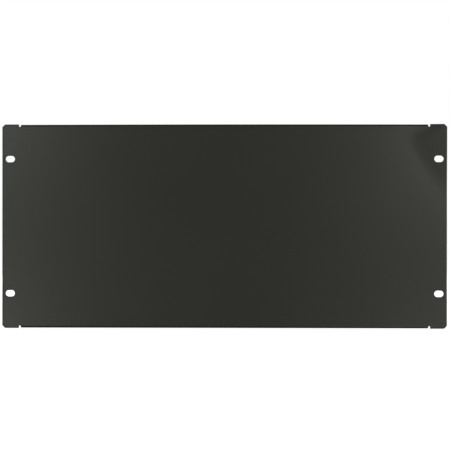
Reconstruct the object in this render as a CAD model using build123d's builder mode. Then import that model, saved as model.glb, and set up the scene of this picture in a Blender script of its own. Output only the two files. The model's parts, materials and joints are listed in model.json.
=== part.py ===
from build123d import *
import os

# Rack blanking panel, five rack units high, folded from one steel sheet.
# X runs across the rack, Y runs from the front to the back, and Z is up.
# The origin is the centre of the four fixing slots, on the back of the ears,
# which is the face that meets the rack's rails. All sizes are in millimetres.

# Sizes that the 19 inch rack standard sets
rack_units = 5
unit_height = 44.45
stacking_gap = 0.79  # how far the panel's height stays under its rack units
panel_width = 482.6
fixing_inset = 8.75  # from the panel's ends to the fixing centres
fixing_setback = 38.1  # from the edge of the rack units to the nearest fixing centres

# Fixing slots, which run across so that the panel can be shifted sideways
slot_length = 10.0
slot_width = 7.0

# Sheet and folds
sheet_thickness = 1.2
bend_radius = 1.2  # on the inside of the fold
flange_depth = 15.0  # from the front face to the flange's free edge
flange_inset = 0.3  # how far the flange's outer face stays inside the ears' edge
flange_corner_radius = 2.0

# Bend reliefs, the small round-ended slots that part the flanges from the ears
ear_width = 18.15  # from the panel's end to the near side of the relief
relief_width = 2.0
relief_overrun = 0.1  # how far the relief runs past the line where the fold starts

# Outer corners of the ears, cut at 45 degrees and then eased
corner_cut = 3.0
corner_ease_radius = 1.5

# Worked out from the sizes above
rack_height = rack_units * unit_height
panel_height = rack_height - stacking_gap
fixing_spacing_x = panel_width - 2 * fixing_inset
fixing_spacing_z = rack_height - 2 * fixing_setback
outer_bend_radius = bend_radius + sheet_thickness
fold_height = flange_inset + outer_bend_radius  # from the ears' edge to where the fold starts
relief_depth = fold_height + relief_overrun
relief_spacing = panel_width - 2 * ear_width - relief_width
flange_inner_z = panel_height / 2 - flange_inset - sheet_thickness
flange_reach = flange_depth - sheet_thickness  # behind the back of the face

front_plane = Plane.XZ.offset(sheet_thickness)

with BuildPart() as panel:
    # Flat face with its ears and cut corners. The strips along the top and the bottom,
    # where the folds come, are left out between the reliefs.
    with BuildSketch(Plane.XZ) as face:
        Rectangle(panel_width, panel_height)
        chamfer(face.vertices(), corner_cut)
        fillet(face.vertices(), corner_ease_radius)
        with GridLocations(0, panel_height, 1, 2):
            Rectangle(relief_spacing, 2 * fold_height, mode=Mode.SUBTRACT)
    extrude(amount=sheet_thickness)

    # Section of the folded sheet between the reliefs: a shallow channel, open at the back
    with BuildSketch(Plane.YZ) as channel_section:
        with BuildLine() as sheet_inside:
            FilletPolyline(
                (flange_reach, flange_inner_z),
                (0, flange_inner_z),
                (0, -flange_inner_z),
                (flange_reach, -flange_inner_z),
                radius=bend_radius,
            )
            offset(amount=sheet_thickness, side=Side.RIGHT)
        make_face()
    extrude(amount=relief_spacing / 2, both=True)

    # Fixing slots, cut through the sheet
    with BuildSketch(front_plane) as fixing_slots:
        with GridLocations(fixing_spacing_x, fixing_spacing_z, 2, 2):
            SlotOverall(slot_length, slot_width)
    extrude(amount=-sheet_thickness, mode=Mode.SUBTRACT)

    # Bend reliefs, cut straight through from the front past the flanges' free edge
    with BuildSketch(front_plane) as reliefs:
        with GridLocations(relief_spacing, panel_height, 2, 2):
            SlotOverall(2 * relief_depth, relief_width, rotation=90)
    extrude(amount=-flange_depth, mode=Mode.SUBTRACT)

    # Free corners of the flanges
    flange_corners = panel.edges().filter_by(Axis.Z).group_by(Axis.Y)[-1]
    fillet(flange_corners, flange_corner_radius)

panel.part.label = "panel"

os.makedirs("parts", exist_ok=True)
export_step(panel.part, "parts/panel.step")
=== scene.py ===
import json
from math import cos, pi, radians, sin, tan

import bmesh
import bpy
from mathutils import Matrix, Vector


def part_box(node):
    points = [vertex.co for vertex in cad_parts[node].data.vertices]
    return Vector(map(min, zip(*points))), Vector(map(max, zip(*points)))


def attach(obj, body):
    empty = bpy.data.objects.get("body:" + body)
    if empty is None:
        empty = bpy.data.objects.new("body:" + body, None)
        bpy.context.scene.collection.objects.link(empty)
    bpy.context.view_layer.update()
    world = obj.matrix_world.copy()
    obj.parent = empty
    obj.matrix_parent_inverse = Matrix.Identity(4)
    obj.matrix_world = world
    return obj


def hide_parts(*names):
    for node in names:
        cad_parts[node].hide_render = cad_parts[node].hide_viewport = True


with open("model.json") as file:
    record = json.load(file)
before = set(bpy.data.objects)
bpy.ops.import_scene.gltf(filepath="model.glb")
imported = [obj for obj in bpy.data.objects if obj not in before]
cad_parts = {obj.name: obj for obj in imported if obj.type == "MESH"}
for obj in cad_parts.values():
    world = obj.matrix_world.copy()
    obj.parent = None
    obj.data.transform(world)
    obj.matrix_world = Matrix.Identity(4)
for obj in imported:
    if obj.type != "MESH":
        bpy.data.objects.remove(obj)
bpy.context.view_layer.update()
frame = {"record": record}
panelLow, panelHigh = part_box("panel")
boltMount = next(mount for mount in frame["record"]["mounts"] if mount["name"] == "rack_bolts")
boltDims = boltMount["dims"]


# Small helpers for working in edit mode

samePlace = 1e-5  # two places nearer than this count as one


def near(first, second):
    return abs(first - second) < samePlace


def deselectAll():
    if bpy.context.object and bpy.context.object.mode != "OBJECT":
        bpy.ops.object.mode_set(mode="OBJECT")
    bpy.ops.object.select_all(action="DESELECT")


def makeActive(piece):
    deselectAll()
    piece.select_set(True)
    bpy.context.view_layer.objects.active = piece


def startPiece(name, scale=(1, 1, 1)):
    # the primitive that was just added becomes a named piece with its place in its mesh
    piece = bpy.context.object
    piece.name = piece.data.name = name
    piece.scale = scale
    bpy.ops.object.transform_apply(location=True, rotation=True, scale=True)
    return piece


def selectEdges(piece, endTest, openOnly=True):
    # picks edges by the places of their two ends, in edit mode
    mesh = bmesh.from_edit_mesh(piece.data)
    bpy.ops.mesh.select_all(action="DESELECT")
    bpy.ops.mesh.select_mode(type="EDGE")
    for edge in mesh.edges:
        allowed = edge.is_boundary or not openOnly
        if allowed and all(endTest(vertex.co) for vertex in edge.verts):
            edge.select_set(True)
    mesh.select_flush_mode()
    bmesh.update_edit_mesh(piece.data)


def extrudeBy(x, y, z):
    bpy.ops.mesh.extrude_region_move(TRANSFORM_OT_translate={"value": (x, y, z)})


def cutAlong(point, normal, clearOuter=False):
    bpy.ops.mesh.select_all(action="SELECT")
    bpy.ops.mesh.bisect(plane_co=point, plane_no=normal, clear_outer=clearOuter)


def mergePoints(reach):
    bpy.ops.mesh.select_all(action="SELECT")
    bpy.ops.mesh.remove_doubles(threshold=reach)


def applyModifier(piece, kind, **settings):
    makeActive(piece)
    bpy.ops.object.modifier_add(type=kind)
    modifier = piece.modifiers[-1]
    for key, value in settings.items():
        setattr(modifier, key, value)
    bpy.ops.object.modifier_apply(modifier=modifier.name)


# The folded sheet, in metres

sheetSizes = {
    "bendRadius": 0.0024,  # outside of the fold
    "bendSteps": 14,
    "flangeInset": 0.0003,  # flange's outer face, inside the ears' edge
    "flangeCorner": 0.002,
    "flangeCornerSteps": 8,
    "reliefCentre": 0.01915,  # from the panel's end
    "reliefWidth": 0.002,
    "reliefDepth": 0.0028,
    "cornerCut": 0.003,
    "cornerEase": 0.0015,
    "cornerSteps": 4,
    "edgeSoftness": 0.00022,
    "edgeSteps": 3,
    "edgeAngle": 32,  # degrees, edges that turn more are softened
    "shadeAngle": 40,  # degrees, edges that turn more are shaded sharp
    "topCrown": 0.0003,  # how far the top fold bows up at its middle
    "roundSteps": 64,  # sides of a full circle in the slots and reliefs
    "cutterReach": 4,  # a cutter's length, in depths of the panel
    "faceCellsAcross": 16,
    "faceCellsUp": 7,
    "foldMerge": 1e-6,  # how near points are joined once the blank is folded
    "holeMerge": 2e-6,  # the same once its holes are cut
    "edgeMerge": 3e-6,  # and once its edges are softened
    # slight bend of the upper right corner: the sheet falls back, then turns forward along a slanting line
    "lineTop": (0.1935, 0.11073),  # where the line meets the top edge, x and z
    "lineSide": (0.2413, 0.0362),  # where it meets the right edge
    "fallStart": -0.045,  # distances past the line, so those inside it are negative
    "turnStart": -0.008,
    "turnEnd": 0.005,
    "fallSlope": 0.0015,
    "riseSlope": 0.053,
    "topFade": (0.011, 0.028),  # along the line, where the bend starts and where it is full
    "sideFade": (0.06, 0.1),  # where it weakens again, and where it would end
    "fallLines": 9,
    "turnLines": 6,
    "fadeLines": 6,
}

# Places that follow from the frame, from its mount in millimetres and from the sizes above
halfWidth, halfHeight = panelHigh.x, panelHigh.z
sheetThickness = -panelLow.y  # the ears' back is the frame's zero
slotX, slotZ = boltDims["spacing_x_mm"] / 1000 / 2, boltDims["spacing_y_mm"] / 1000 / 2
slotLength, slotWidth = boltDims["slot_length_mm"] / 1000, 2 * boltDims["hole_r_mm"] / 1000
foldZ = halfHeight - sheetSizes["flangeInset"] - sheetSizes["bendRadius"]
reliefX = halfWidth - sheetSizes["reliefCentre"]
flangeEndX = reliefX - sheetSizes["reliefWidth"] / 2
fourCorners = [(sideX, sideZ) for sideX in (-1, 1) for sideZ in (-1, 1)]


def addRoundBar(name, centre, length, width, axis):
    # a prism with round ends that are pulled apart along X or Z, used to cut slots and reliefs
    deselectAll()
    bpy.ops.mesh.primitive_cylinder_add(
        vertices=sheetSizes["roundSteps"],
        radius=width / 2,
        depth=sheetSizes["cutterReach"] * (panelHigh.y - panelLow.y),
        location=centre,
        rotation=(pi / 2, pi / sheetSizes["roundSteps"], 0),  # half a side round
    )
    bar = startPiece(name)
    bpy.ops.object.mode_set(mode="EDIT")
    for side in (-1, 1):
        mesh = bmesh.from_edit_mesh(bar.data)
        bpy.ops.mesh.select_all(action="DESELECT")
        bpy.ops.mesh.select_mode(type="VERT")
        for vertex in mesh.verts:
            if (vertex.co[axis] - centre[axis]) * side > 0:
                vertex.select_set(True)
        mesh.select_flush_mode()
        bmesh.update_edit_mesh(bar.data)
        shift = [0, 0, 0]
        shift[axis] = side * (length - width) / 2
        bpy.ops.transform.translate(value=shift)
    bpy.ops.object.mode_set(mode="OBJECT")
    return bar


def cutEarCorner(sideX, sideZ):
    # planes that touch the cut corner and its two eased ends, turned round the corner step by step
    cut, ease = sheetSizes["cornerCut"], sheetSizes["cornerEase"]
    slant = pi / 4
    easeRun = ease * tan(slant / 2)
    steps = sheetSizes["cornerSteps"]
    arcs = (
        (halfWidth - cut - easeRun, halfHeight - ease, 0),  # eases the cut into the top edge
        (halfWidth - ease, halfHeight - cut - easeRun, slant),  # eases the cut into the end
    )
    for arcX, arcZ, start in arcs:
        for step in range(steps + 1):
            turn = start + slant * (step + 0.5) / (steps + 1)
            point = (sideX * (arcX + ease * sin(turn)), 0, sideZ * (arcZ + ease * cos(turn)))
            cutAlong(point, (sideX * sin(turn), 0, sideZ * cos(turn)), clearOuter=True)
    cutAlong(
        (sideX * (halfWidth - cut), 0, sideZ * halfHeight),
        (sideX * cos(slant), 0, sideZ * cos(slant)),
        clearOuter=True,
    )


def raiseEars(piece, sideZ):
    # the ears go on straight where the flange between them turns back
    selectEdges(piece, lambda place: near(place.z, sideZ * foldZ) and abs(place.x) > reliefX - samePlace)
    extrudeBy(0, 0, sideZ * (halfHeight - foldZ))


def foldFlange(piece, sideZ):
    radius = sheetSizes["bendRadius"]
    selectEdges(piece, lambda place: near(place.z, sideZ * foldZ) and abs(place.x) < reliefX + samePlace)
    bpy.ops.mesh.spin(
        steps=sheetSizes["bendSteps"],
        angle=sideZ * pi / 2,
        center=(0, panelLow.y + radius, sideZ * foldZ),
        axis=(1, 0, 0),
    )
    extrudeBy(0, panelHigh.y - panelLow.y - radius, 0)


def foldBlank():
    # the flat face comes first, up to the lines where the folds start
    deselectAll()
    bpy.ops.mesh.primitive_grid_add(
        x_subdivisions=sheetSizes["faceCellsAcross"],
        y_subdivisions=sheetSizes["faceCellsUp"],
        size=1,
        location=(0, panelLow.y, 0),
        rotation=(pi / 2, 0, 0),
    )
    piece = startPiece("panel_sheet", scale=(2 * reliefX, 2 * foldZ, 1))
    bpy.ops.object.mode_set(mode="EDIT")
    for sideX in (-1, 1):
        selectEdges(piece, lambda place: near(place.x, sideX * reliefX))
        extrudeBy(sideX * (halfWidth - reliefX), 0, 0)
    for sideZ in (-1, 1):
        raiseEars(piece, sideZ)
        foldFlange(piece, sideZ)
    for sideX, sideZ in fourCorners:
        cutEarCorner(sideX, sideZ)
    mergePoints(sheetSizes["foldMerge"])
    bpy.ops.mesh.normals_make_consistent(inside=False)
    flatFace = max(bmesh.from_edit_mesh(piece.data).faces, key=lambda face: abs(face.normal.y))
    if flatFace.normal.y > 0:  # the front looks along -Y
        bpy.ops.mesh.flip_normals()
    bpy.ops.object.mode_set(mode="OBJECT")
    applyModifier(piece, "SOLIDIFY", thickness=sheetThickness, offset=-1, use_even_offset=True)
    print("blank folded,", len(piece.data.polygons), "faces")
    return piece


def cutHoles(piece):
    # a slot and a bend relief near each corner of the panel
    cutters = []
    for sideX, sideZ in fourCorners:
        cutters.append(addRoundBar(
            "slot_cutter", (sideX * slotX, 0, sideZ * slotZ), slotLength, slotWidth, axis=0))
        cutters.append(addRoundBar(
            "relief_cutter", (sideX * reliefX, 0, sideZ * halfHeight),
            2 * sheetSizes["reliefDepth"], sheetSizes["reliefWidth"], axis=2))
    makeActive(cutters[0])
    for cutter in cutters:
        cutter.select_set(True)
    bpy.ops.object.join()
    joined = bpy.context.object
    applyModifier(piece, "BOOLEAN", operation="DIFFERENCE", solver="EXACT", object=joined)
    bpy.data.objects.remove(joined)
    print("slots and reliefs cut,", len(piece.data.polygons), "faces")


def roundFlangeCorners(piece):
    makeActive(piece)
    bpy.ops.object.mode_set(mode="EDIT")
    mergePoints(sheetSizes["holeMerge"])
    selectEdges(
        piece,
        lambda place: near(place.y, panelHigh.y) and near(abs(place.x), flangeEndX),
        openOnly=False,
    )
    bpy.ops.mesh.bevel(offset=sheetSizes["flangeCorner"], segments=sheetSizes["flangeCornerSteps"])
    bpy.ops.object.mode_set(mode="OBJECT")


def bowTopFold(piece):
    # most at the middle of the top edge, and nothing at the reliefs or below the panel's middle
    for vertex in piece.data.vertices:
        reach = min(1, abs(vertex.co.x) / flangeEndX)
        rise = max(0, vertex.co.z / halfHeight)
        vertex.co.z += sheetSizes["topCrown"] * (1 - reach ** 2) * rise ** 2


def creaseHeight(distance):
    # how far the bent corner stands forward of the flat sheet, by the distance past its line
    fallStart, turnStart, turnEnd = (sheetSizes[key] for key in ("fallStart", "turnStart", "turnEnd"))
    fall, rise = sheetSizes["fallSlope"], sheetSizes["riseSlope"]
    if distance <= fallStart:
        return 0.0
    fallRun = min(distance, turnStart) - fallStart
    height = -fall * fallRun ** 2 / (2 * (turnStart - fallStart))
    if distance > turnStart:
        turnRun = min(distance, turnEnd) - turnStart
        height += -fall * turnRun + (fall + rise) * turnRun ** 2 / (2 * (turnEnd - turnStart))
    if distance > turnEnd:
        height += rise * (distance - turnEnd)
    return height


def easedStep(value, start, end):
    # from 0 to 1 between two places, with soft ends
    share = min(1, max(0, (value - start) / (end - start)))
    return share * share * (3 - 2 * share)


def creaseShare(place):
    # how much of the bend there is, by the place along its line from the top edge
    return easedStep(place, *sheetSizes["topFade"]) * (1 - easedStep(place, *sheetSizes["sideFade"]))


def bendCorner(piece):
    # lines cut along the bend give the sheet the points that it turns by
    top, side = (Vector((sheetSizes[key][0], 0, sheetSizes[key][1])) for key in ("lineTop", "lineSide"))
    along = (side - top).normalized()
    outward = Vector((-along.z, 0, along.x))  # towards the panel's corner
    fallStart, turnStart, turnEnd = (sheetSizes[key] for key in ("fallStart", "turnStart", "turnEnd"))
    fallLines, turnLines = sheetSizes["fallLines"], sheetSizes["turnLines"]
    offsets = [fallStart + (turnStart - fallStart) * i / fallLines for i in range(fallLines)]
    offsets += [turnStart + (turnEnd - turnStart) * i / turnLines for i in range(turnLines + 1)]
    makeActive(piece)
    bpy.ops.object.mode_set(mode="EDIT")
    for offset in offsets:
        cutAlong(top + outward * offset, outward)
    for fadeStart, fadeEnd in (sheetSizes["topFade"], sheetSizes["sideFade"]):
        for i in range(sheetSizes["fadeLines"] + 1):
            place = fadeStart + (fadeEnd - fadeStart) * i / sheetSizes["fadeLines"]
            cutAlong(top + along * place, along)
    bpy.ops.object.mode_set(mode="OBJECT")
    for vertex in piece.data.vertices:
        place = vertex.co - top
        vertex.co.y -= creaseShare(place.dot(along)) * creaseHeight(place.dot(outward))
    print("corner bent,", len(piece.data.polygons), "faces")


def softenEdges(piece):
    # two empty material slots, so that the bevel's own faces can be told apart and marked
    softSlot = 1
    piece.data.materials.clear()
    piece.data.materials.append(None)
    piece.data.materials.append(None)
    applyModifier(
        piece, "BEVEL", width=sheetSizes["edgeSoftness"], segments=sheetSizes["edgeSteps"],
        limit_method="ANGLE", angle_limit=radians(sheetSizes["edgeAngle"]),
        use_clamp_overlap=False, material=softSlot,
    )
    makeActive(piece)
    bpy.ops.object.mode_set(mode="EDIT")
    mergePoints(sheetSizes["edgeMerge"])
    bpy.ops.mesh.normals_make_consistent(inside=False)
    bpy.ops.object.mode_set(mode="OBJECT")
    bpy.ops.object.shade_smooth_by_angle(angle=radians(sheetSizes["shadeAngle"]))
    applyModifier(piece, "WEIGHTED_NORMAL", mode="FACE_AREA", keep_sharp=True)
    edgeMark = piece.data.attributes.new("softEdge", "FLOAT", "FACE")
    for face in piece.data.polygons:
        edgeMark.data[face.index].value = float(face.material_index == softSlot)
        face.material_index = 0
    print("edges softened,", len(piece.data.polygons), "faces")


def buildPanel():
    piece = foldBlank()
    cutHoles(piece)
    roundFlangeCorners(piece)
    bowTopFold(piece)
    bendCorner(piece)
    softenEdges(piece)
    return piece


panelSheet = buildPanel()
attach(panelSheet, "root")
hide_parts("panel")


# Small helpers for materials and the world

def grey(level):
    return (level, level, level, 1)


def addMath(tree, operation, *values):
    # sockets or numbers may be given
    node = tree.nodes.new("ShaderNodeMath")
    node.operation = operation
    for place, value in enumerate(values):
        if isinstance(value, (int, float)):
            node.inputs[place].default_value = value
        else:
            tree.links.new(value, node.inputs[place])
    return node.outputs[0]


def addNoise(tree, place, scale, detail, roughness=0.5):
    node = tree.nodes.new("ShaderNodeTexNoise")
    tree.links.new(place, node.inputs["Vector"])
    tree.links.new(scale, node.inputs["Scale"])
    node.inputs["Detail"].default_value = detail
    node.inputs["Roughness"].default_value = roughness
    return node.outputs["Fac"]


def addLength(tree, across, along):
    # how far a place is from a point, by its two offsets
    joined = tree.nodes.new("ShaderNodeCombineXYZ")
    tree.links.new(across, joined.inputs["X"])
    tree.links.new(along, joined.inputs["Y"])
    node = tree.nodes.new("ShaderNodeVectorMath")
    node.operation = "LENGTH"
    tree.links.new(joined.outputs[0], node.inputs[0])
    return node.outputs["Value"]


def addFade(tree, value, startLevel, endLevel):
    # a smooth change between two levels, from 0 to 1 unless From Min and From Max are linked
    node = tree.nodes.new("ShaderNodeMapRange")
    node.interpolation_type = "SMOOTHSTEP"
    tree.links.new(value, node.inputs["Value"])
    node.inputs["To Min"].default_value = startLevel
    node.inputs["To Max"].default_value = endLevel
    return node


def addColourMix(tree, mask, under, over):
    # the colour under the mask, a socket or a plain colour, turns to the one over it where the mask is 1
    node = tree.nodes.new("ShaderNodeMix")
    node.data_type = "RGBA"
    underSocket, overSocket, mixedSocket = node.inputs[6], node.inputs[7], node.outputs[2]
    tree.links.new(mask, node.inputs[0])
    overSocket.default_value = (*over, 1)
    if isinstance(under, tuple):
        underSocket.default_value = (*under, 1)
    else:
        tree.links.new(under, underSocket)
    return mixedSocket


def addShaderMix(tree, mask, under, over):
    node = tree.nodes.new("ShaderNodeMixShader")
    tree.links.new(mask, node.inputs[0])
    tree.links.new(under, node.inputs[1])
    tree.links.new(over, node.inputs[2])
    return node.outputs[0]


# Effects for the finish, as node groups on the piece's own coordinates, in metres

def startGroup(name, inputs, output):
    group = bpy.data.node_groups.new(name, "ShaderNodeTree")
    group.interface.new_socket(name="Place", in_out="INPUT", socket_type="NodeSocketVector")
    for socketName in inputs:
        group.interface.new_socket(name=socketName, in_out="INPUT", socket_type="NodeSocketFloat")
    group.interface.new_socket(name=output, in_out="OUTPUT", socket_type="NodeSocketFloat")
    return group, group.nodes.new("NodeGroupInput").outputs, group.nodes.new("NodeGroupOutput").inputs


def buildCoatGrain():
    # the coat's slow waves, like orange peel, with a finer grain on top
    group, given, made = startGroup(
        "coatGrain", ("Waves Per Metre", "Grains Per Metre", "Grain Share"), "Height")
    waves = addNoise(group, given["Place"], given["Waves Per Metre"], detail=1.0)
    grains = addNoise(group, given["Place"], given["Grains Per Metre"], detail=2.0, roughness=0.6)
    fine = addMath(group, "MULTIPLY", grains, given["Grain Share"])
    group.links.new(addMath(group, "ADD", waves, fine), made["Height"])
    return group


def buildCoatTone():
    # where the coat came out a little thicker, from about -1 to 1, in large soft patches
    group, given, made = startGroup("coatTone", ("Patches Per Metre",), "Tone")
    patches = addNoise(group, given["Place"], given["Patches Per Metre"], detail=3.0, roughness=0.45)
    noiseMiddle, noiseStretch = 0.5, 4.0  # the noise stays within about a quarter of its middle
    centred = addMath(group, "SUBTRACT", patches, noiseMiddle)
    group.links.new(addMath(group, "MULTIPLY", centred, noiseStretch), made["Tone"])
    return group


def buildEdgeThinning():
    # the softened edges, where the coat is thin, broken up by fine noise
    group, given, made = startGroup("edgeThinning", ("Flecks Per Metre",), "Thin")
    edge = group.nodes.new("ShaderNodeAttribute")
    edge.attribute_name = "softEdge"
    flecks = addNoise(group, given["Place"], given["Flecks Per Metre"], detail=2.0)
    group.links.new(addMath(group, "MULTIPLY", edge.outputs["Fac"], flecks), made["Thin"])
    return group


def buildPaintedEdgeShade():
    # painted shade: a dark band along the sheet's outline, its slots and its reliefs, from 0 to 1 at the
    # edge
    group, given, made = startGroup("paintedEdgeShade", ("Reach", "Full"), "Build")

    def minus(first, second):
        return addMath(group, "SUBTRACT", first, second)

    def plus(first, second):
        return addMath(group, "ADD", first, second)

    def absolute(value):
        return addMath(group, "ABSOLUTE", value)

    def aboveZero(value):
        return addMath(group, "MAXIMUM", value, 0.0)

    # left and right are alike, and so are top and bottom
    split = group.nodes.new("ShaderNodeSeparateXYZ")
    group.links.new(given["Place"], split.inputs[0])
    x, y, z = absolute(split.outputs["X"]), split.outputs["Y"], absolute(split.outputs["Z"])

    # outline: the ends, the folds, the flanges' free edges and the cut corners
    cornerSum = halfWidth + halfHeight - sheetSizes["cornerCut"]
    toSide = minus(halfWidth, x)
    toFold = plus(minus(halfHeight, z), aboveZero(y))
    toFree = minus(panelHigh.y, y)
    toCorner = addMath(group, "DIVIDE", minus(cornerSum, plus(x, z)), 2 ** 0.5)

    # slots and reliefs: the distance from a straight line, less half the width
    slotStraight = (slotLength - slotWidth) / 2
    slotAcross = aboveZero(minus(absolute(minus(x, slotX)), slotStraight))
    toSlot = minus(addLength(group, slotAcross, minus(z, slotZ)), slotWidth / 2)
    reliefRadius = sheetSizes["reliefWidth"] / 2
    reliefEnd = halfHeight - sheetSizes["reliefDepth"] + reliefRadius
    reliefUp = aboveZero(minus(reliefEnd, z))
    toRelief = minus(addLength(group, minus(x, reliefX), reliefUp), reliefRadius)

    nearest = toSide
    for distance in (toFold, toCorner, toFree, toSlot, toRelief):
        nearest = addMath(group, "MINIMUM", nearest, distance)
    level = addFade(group, nearest, 1.0, 0.0)
    group.links.new(given["Full"], level.inputs["From Min"])
    group.links.new(given["Reach"], level.inputs["From Max"])
    group.links.new(level.outputs["Result"], made["Build"])
    return group


# Satin black powder coat, a little olive

coatLook = {
    "ior": 1.5,
    "colour": (0.0161, 0.0174, 0.0082),
    "thinColour": (0.021, 0.0225, 0.0125),
    "shadeBandColour": (0.0085, 0.0092, 0.0045),  # painted shade along the edges, a darker band on the coat
    "shadeBandRoughness": 0.2,  # how much rougher it is there
    "shadeBandReach": 0.002,
    "shadeBandFull": 0.0007,
    "toneRange": 0.035,  # share by which the patches lighten or darken
    "roughness": 0.3,
    "roughnessRange": 0.012,
    "thinRoughness": 0.06,  # how much smoother the coat is on thin edges
    "wavesPerMetre": 520.0,
    "grainsPerMetre": 2100.0,
    "grainShare": 0.35,
    "grainDepth": 0.000016,
    "patchesPerMetre": 9.0,
    "flecksPerMetre": 900.0,
}


def buildPowderCoat():
    coat = bpy.data.materials.new("powderCoat")
    coat.use_nodes = True
    tree = coat.node_tree
    shader = tree.nodes["Principled BSDF"]
    shader.inputs["IOR"].default_value = coatLook["ior"]
    place = tree.nodes.new("ShaderNodeTexCoord").outputs["Object"]

    def addGroup(group, values):
        node = tree.nodes.new("ShaderNodeGroup")
        node.node_tree = group
        tree.links.new(place, node.inputs["Place"])
        for socketName, lookName in values.items():
            node.inputs[socketName].default_value = coatLook[lookName]
        return node.outputs[0]

    tone = addGroup(buildCoatTone(), {"Patches Per Metre": "patchesPerMetre"})
    thin = addGroup(buildEdgeThinning(), {"Flecks Per Metre": "flecksPerMetre"})
    # the painted shade band along the edges, as a mask from 0 to 1
    shadeBand = addGroup(buildPaintedEdgeShade(), {"Reach": "shadeBandReach", "Full": "shadeBandFull"})
    height = addGroup(buildCoatGrain(), {
        "Waves Per Metre": "wavesPerMetre",
        "Grains Per Metre": "grainsPerMetre",
        "Grain Share": "grainShare",
    })

    # colour: the coat, darker in the painted shade band along its edges, lighter where it is thin, times
    # its patches
    colour = addColourMix(tree, shadeBand, coatLook["colour"], coatLook["shadeBandColour"])
    colour = addColourMix(tree, thin, colour, coatLook["thinColour"])
    patched = tree.nodes.new("ShaderNodeVectorMath")
    patched.operation = "SCALE"
    tree.links.new(colour, patched.inputs[0])
    patchLevel = addMath(tree, "MULTIPLY_ADD", tone, coatLook["toneRange"], 1.0)
    tree.links.new(patchLevel, patched.inputs["Scale"])
    tree.links.new(patched.outputs[0], shader.inputs["Base Color"])

    rough = addMath(tree, "MULTIPLY_ADD", tone, coatLook["roughnessRange"], coatLook["roughness"])
    rough = addMath(tree, "ADD", rough, addMath(tree, "MULTIPLY", shadeBand, coatLook["shadeBandRoughness"]))
    rough = addMath(tree, "SUBTRACT", rough, addMath(tree, "MULTIPLY", thin, coatLook["thinRoughness"]))
    tree.links.new(rough, shader.inputs["Roughness"])

    bump = tree.nodes.new("ShaderNodeBump")
    bump.inputs["Strength"].default_value = 1.0
    bump.inputs["Distance"].default_value = coatLook["grainDepth"]
    tree.links.new(height, bump.inputs["Height"])
    tree.links.new(bump.outputs["Normal"], shader.inputs["Normal"])
    return coat


panelSheet.data.materials.clear()
panelSheet.data.materials.append(buildPowderCoat())
print("finish built")


# Floor, which the camera sees as pure white and the panel doesn't mirror

floorLook = {"size": 14.0, "colour": 0.8, "glow": 0.86}


def buildFloor():
    deselectAll()
    bpy.ops.mesh.primitive_plane_add(size=floorLook["size"], location=(0, 0, panelLow.z))
    floor = startPiece("floor")
    # it neither lights the panel nor stands in the way of the low lights
    floor.visible_glossy = floor.visible_diffuse = floor.visible_shadow = False
    paper = bpy.data.materials.new("whitePaper")
    paper.use_nodes = True
    tree = paper.node_tree
    shader = tree.nodes["Principled BSDF"]
    shader.inputs["Base Color"].default_value = grey(floorLook["colour"])
    shader.inputs["Roughness"].default_value = 1.0
    shader.inputs["Specular IOR Level"].default_value = 0.0
    shader.inputs["Emission Color"].default_value = grey(1.0)
    shader.inputs["Emission Strength"].default_value = floorLook["glow"]
    # from below the floor is clear, so that the underside can be seen
    fromBelow = tree.nodes.new("ShaderNodeNewGeometry").outputs["Backfacing"]
    clear = tree.nodes.new("ShaderNodeBsdfTransparent")
    picked = addShaderMix(tree, fromBelow, shader.outputs[0], clear.outputs[0])
    tree.links.new(picked, tree.nodes["Material Output"].inputs["Surface"])
    floor.data.materials.append(paper)


# World: white behind the panel, and a soft grey room for what the panel mirrors

roomLook = {"backdrop": 1.0, "sides": 0.28, "poles": 0.12}


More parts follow.
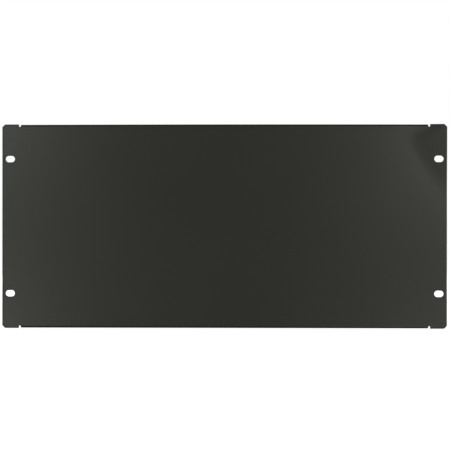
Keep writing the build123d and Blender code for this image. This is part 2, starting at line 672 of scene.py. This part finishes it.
def buildWorld():
    world = bpy.data.worlds.new("studio")
    bpy.context.scene.world = world
    world.use_nodes = True
    tree = world.node_tree
    room = tree.nodes["Background"]
    room.inputs["Color"].default_value = grey(1.0)
    # the room is darker straight above and below
    split = tree.nodes.new("ShaderNodeSeparateXYZ")
    tree.links.new(tree.nodes.new("ShaderNodeTexCoord").outputs["Generated"], split.inputs[0])
    rise = addMath(tree, "ABSOLUTE", split.outputs["Z"])
    level = addFade(tree, rise, roomLook["sides"], roomLook["poles"])
    tree.links.new(level.outputs["Result"], room.inputs["Strength"])
    backdrop = tree.nodes.new("ShaderNodeBackground")
    backdrop.inputs["Color"].default_value = grey(1.0)
    backdrop.inputs["Strength"].default_value = roomLook["backdrop"]
    seen = tree.nodes.new("ShaderNodeLightPath").outputs["Is Camera Ray"]
    picked = addShaderMix(tree, seen, room.outputs[0], backdrop.outputs[0])
    tree.links.new(picked, tree.nodes["World Output"].inputs["Surface"])


# Soft lights, all aimed at the panel's middle: place in metres, width and height, power in watts

softLights = {
    "upperLeft": {"place": (-0.7, -1.45, 0.38), "size": (0.4, 0.5), "power": 2.45},
    "lowerLeft": {"place": (-0.7, -1.45, -0.36), "size": (0.4, 0.5), "power": 2.05},
    "upperRight": {"place": (0.71, -1.45, 0.36), "size": (0.4, 0.5), "power": 4.38},
    "lowerRight": {"place": (0.64, -1.45, -0.6), "size": (0.4, 0.5), "power": 3.62},
    "backLeft": {"place": (-0.8, 1.45, 0.2), "size": (0.5, 0.7), "power": 5.0},
    "backRight": {"place": (0.75, 1.45, 0.15), "size": (0.5, 0.7), "power": 4.0},
    "overhead": {"place": (0.0, 0.45, 1.9), "size": (1.6, 0.8), "power": 5.0},
}


def placeLights():
    for name, values in softLights.items():
        lamp = bpy.data.objects.new(name, bpy.data.lights.new(name, "AREA"))
        bpy.context.scene.collection.objects.link(lamp)
        lamp.data.shape = "RECTANGLE"
        lamp.data.size, lamp.data.size_y = values["size"]
        lamp.data.energy = values["power"]
        lamp.location = values["place"]
        lamp.rotation_euler = Vector(values["place"]).to_track_quat("Z", "Y").to_euler()
        lamp.visible_camera = False


buildFloor()
buildWorld()
placeLights()
print("floor, room and lights built")


# Camera, as the photograph was taken

cameraSizes = {
    "place": (0.0321, -1.5, 0.0004),  # metres
    "turn": (90.038, -0.027, 1.181),  # degrees
    "lens": 110.54,  # millimetres, like the sensor
    "sensorWidth": 36,
}


def placeCamera():
    camera = bpy.data.objects.new("camera", bpy.data.cameras.new("camera"))
    bpy.context.scene.collection.objects.link(camera)
    camera.location = cameraSizes["place"]
    camera.rotation_euler = [radians(angle) for angle in cameraSizes["turn"]]
    camera.data.lens = cameraSizes["lens"]
    camera.data.sensor_width = cameraSizes["sensorWidth"]
    bpy.context.scene.camera = camera


placeCamera()
bpy.context.scene.view_settings.view_transform = "Standard"
print("camera placed")
